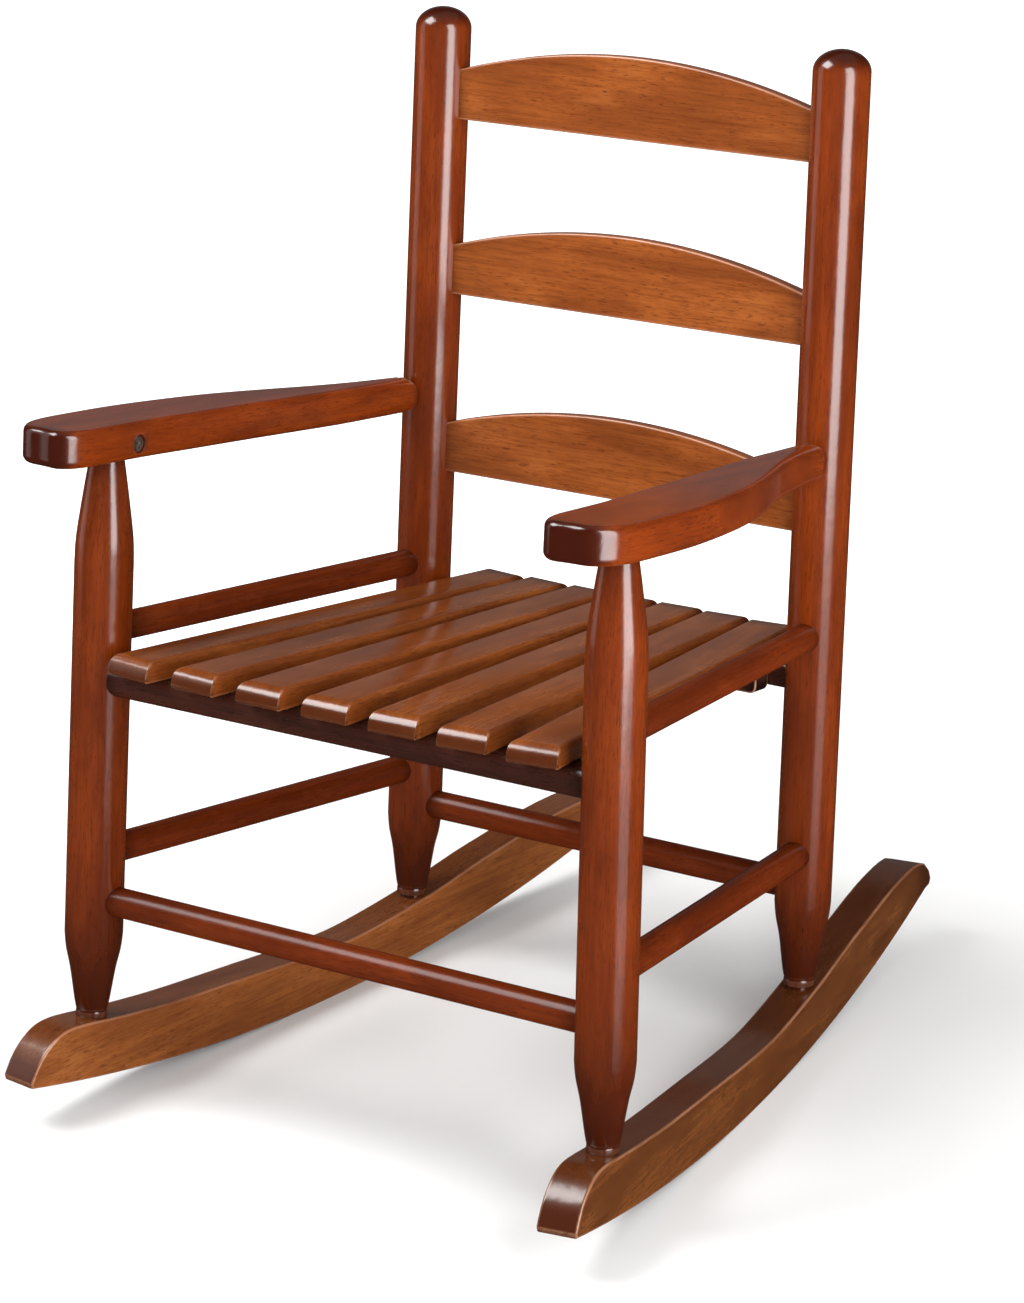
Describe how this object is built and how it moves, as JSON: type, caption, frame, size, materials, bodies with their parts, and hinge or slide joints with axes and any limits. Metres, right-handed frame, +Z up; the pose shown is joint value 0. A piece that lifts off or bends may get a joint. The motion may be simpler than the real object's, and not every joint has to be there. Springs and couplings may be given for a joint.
{
  "type": "rocking chair",
  "caption": "Child-size ladder-back rocking chair: turned posts, arched back slats, fanned seat slats, shaped flat arms and curved rockers, in stained hardwood.",
  "frame": {"origin": "on the floor, centred under the chair's overall width and depth", "axes": "+Z up, the chair's front faces -Y, +X is the sitter's left"},
  "size_m": [0.395, 0.4984, 0.573],
  "materials": {
    "frame_wood": "reddish brown stain under glossy lacquer",
    "rocker_wood": "reddish brown stain under glossy lacquer",
    "slat_wood": "reddish brown stain under glossy lacquer",
    "rail_wood": "dark brown stain under satin lacquer",
    "screw_steel": "plated"
  },
  "bodies": {
    "root": {"arm_left": "frame_wood", "arm_right": "frame_wood", "arm_screw_left": "screw_steel", "arm_screw_right": "screw_steel", "back_slat_bottom": "slat_wood", "back_slat_middle": "slat_wood", "back_slat_top": "slat_wood", "front_post_left": "frame_wood", "front_post_right": "frame_wood", "rear_post_left": "frame_wood", "rear_post_right": "frame_wood", "rocker_left": "rocker_wood", "rocker_right": "rocker_wood", "seat_batten_front": "rail_wood", "seat_batten_rear": "rail_wood", "seat_rail_front": "rail_wood", "seat_rail_left": "frame_wood", "seat_rail_rear": "rail_wood", "seat_rail_right": "frame_wood", "seat_slat_1": "slat_wood", "seat_slat_2": "slat_wood", "seat_slat_3": "slat_wood", "seat_slat_4": "slat_wood", "seat_slat_5": "slat_wood", "seat_slat_6": "slat_wood", "seat_slat_7": "slat_wood", "slat_screw_front_1": "screw_steel", "slat_screw_front_2": "screw_steel", "slat_screw_front_3": "screw_steel", "slat_screw_front_4": "screw_steel", "slat_screw_front_5": "screw_steel", "slat_screw_front_6": "screw_steel", "slat_screw_front_7": "screw_steel", "slat_screw_rear_1": "screw_steel", "slat_screw_rear_2": "screw_steel", "slat_screw_rear_3": "screw_steel", "slat_screw_rear_4": "screw_steel", "slat_screw_rear_5": "screw_steel", "slat_screw_rear_6": "screw_steel", "slat_screw_rear_7": "screw_steel", "stretcher_front": "frame_wood", "stretcher_left": "frame_wood", "stretcher_rear": "frame_wood", "stretcher_right": "frame_wood"}
  },
  "joints": []
}
